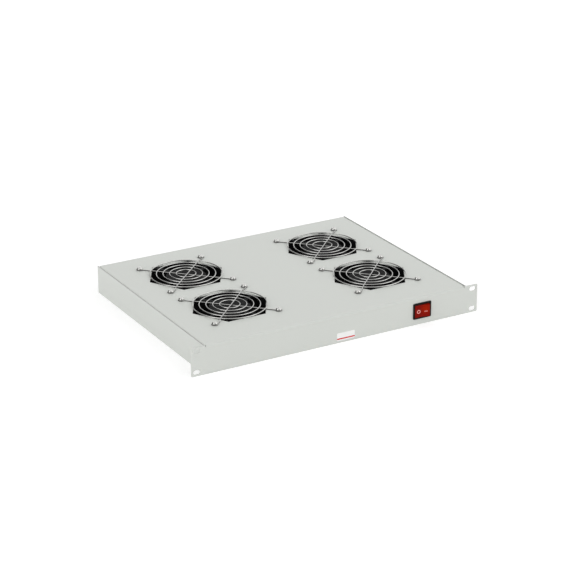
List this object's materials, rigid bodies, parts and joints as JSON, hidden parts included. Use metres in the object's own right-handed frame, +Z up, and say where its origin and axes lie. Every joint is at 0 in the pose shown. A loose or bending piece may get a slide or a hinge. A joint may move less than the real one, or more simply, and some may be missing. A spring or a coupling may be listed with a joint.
{
  "type": "rack fan tray",
  "caption": "Shallow 19-inch rack case with axial fans under round wire finger guards, slotted rack ears, a red rocker switch in front and a mains inlet at the rear.",
  "frame": {"origin": "centre of the rack slots, on the rear faces of the ears, where the rack's rails press", "axes": "+X to the right seen from the front, +Y towards the rear, +Z up, the way the fans blow"},
  "size_m": [0.4826, 0.3613, 0.0483],
  "materials": {
    "case_paint": "light grey powder coat, fine texture",
    "fan_black": "black paint on die-cast aluminium",
    "impeller_black": "black glass-filled plastic",
    "guard_wire": "bright plated steel wire",
    "zinc_screw": "zinc-plated steel",
    "motor_steel": "electrical steel and bright steel",
    "winding": "enamelled copper winding on its core",
    "switch_black": "black moulded plastic",
    "rocker_red": "red translucent plastic with a white circle and a white bar",
    "lamp_glass": "small neon lamp",
    "brass_tab": "tin-plated brass",
    "nylon": "natural nylon",
    "lead_black": "black insulated lead",
    "earth_green": "green and yellow insulated lead"
  },
  "bodies": {
    "chassis": {"cover": "case_paint", "base": "case_paint", "cover_screws": "zinc_screw", "cover_nuts": "zinc_screw", "guard_screws": "zinc_screw", "guard_nuts": "zinc_screw", "switch_housing": "switch_black", "switch_terminals": "brass_tab", "switch_lamp": "lamp_glass", "inlet_body": "switch_black", "inlet_pins": "brass_tab", "inlet_screws": "zinc_screw", "inlet_nuts": "zinc_screw", "terminal_block": "nylon", "terminal_screws": "zinc_screw", "block_screws": "zinc_screw", "lead_sleeves": "nylon", "supply_leads": "lead_black", "switched_leads": "lead_black", "earth_lead": "earth_green", "earth_lug": "brass_tab", "earth_stud": "zinc_screw", "earth_nut": "zinc_screw", "cable_clips": "nylon", "fan_frame_1": "fan_black", "bearings_1": "motor_steel", "stator_1": "winding", "finger_guard_1": "guard_wire", "fan_leads_1": "lead_black", "fan_frame_2": "fan_black", "bearings_2": "motor_steel", "stator_2": "winding", "finger_guard_2": "guard_wire", "fan_leads_2": "lead_black", "fan_frame_3": "fan_black", "bearings_3": "motor_steel", "stator_3": "winding", "finger_guard_3": "guard_wire", "fan_leads_3": "lead_black", "fan_frame_4": "fan_black", "bearings_4": "motor_steel", "stator_4": "winding", "finger_guard_4": "guard_wire", "fan_leads_4": "lead_black"},
    "rotor_1": {"impeller_1": "impeller_black", "shaft_1": "motor_steel", "rotor_ring_1": "motor_steel"},
    "rotor_2": {"impeller_2": "impeller_black", "shaft_2": "motor_steel", "rotor_ring_2": "motor_steel"},
    "rotor_3": {"impeller_3": "impeller_black", "shaft_3": "motor_steel", "rotor_ring_3": "motor_steel"},
    "rotor_4": {"impeller_4": "impeller_black", "shaft_4": "motor_steel", "rotor_ring_4": "motor_steel"},
    "rocker": {"switch_rocker": "rocker_red"}
  },
  "joints": [
    {"name": "fan_1_spin", "type": "hinge", "parent": "chassis", "child": "rotor_1", "pos_m": [-0.12, 0.11, 0], "axis": [0, 0, 1], "continuous": true},
    {"name": "fan_2_spin", "type": "hinge", "parent": "chassis", "child": "rotor_2", "pos_m": [0.12, 0.11, 0], "axis": [0, 0, 1], "continuous": true},
    {"name": "fan_3_spin", "type": "hinge", "parent": "chassis", "child": "rotor_3", "pos_m": [-0.12, 0.25, 0], "axis": [0, 0, 1], "continuous": true},
    {"name": "fan_4_spin", "type": "hinge", "parent": "chassis", "child": "rotor_4", "pos_m": [0.12, 0.25, 0], "axis": [0, 0, 1], "continuous": true},
    {"name": "rocker_tilt", "type": "hinge", "parent": "chassis", "child": "rocker", "pos_m": [0.1425, 0.002, 0], "axis": [0, 0, 1], "range_deg": [0, 20]}
  ]
}
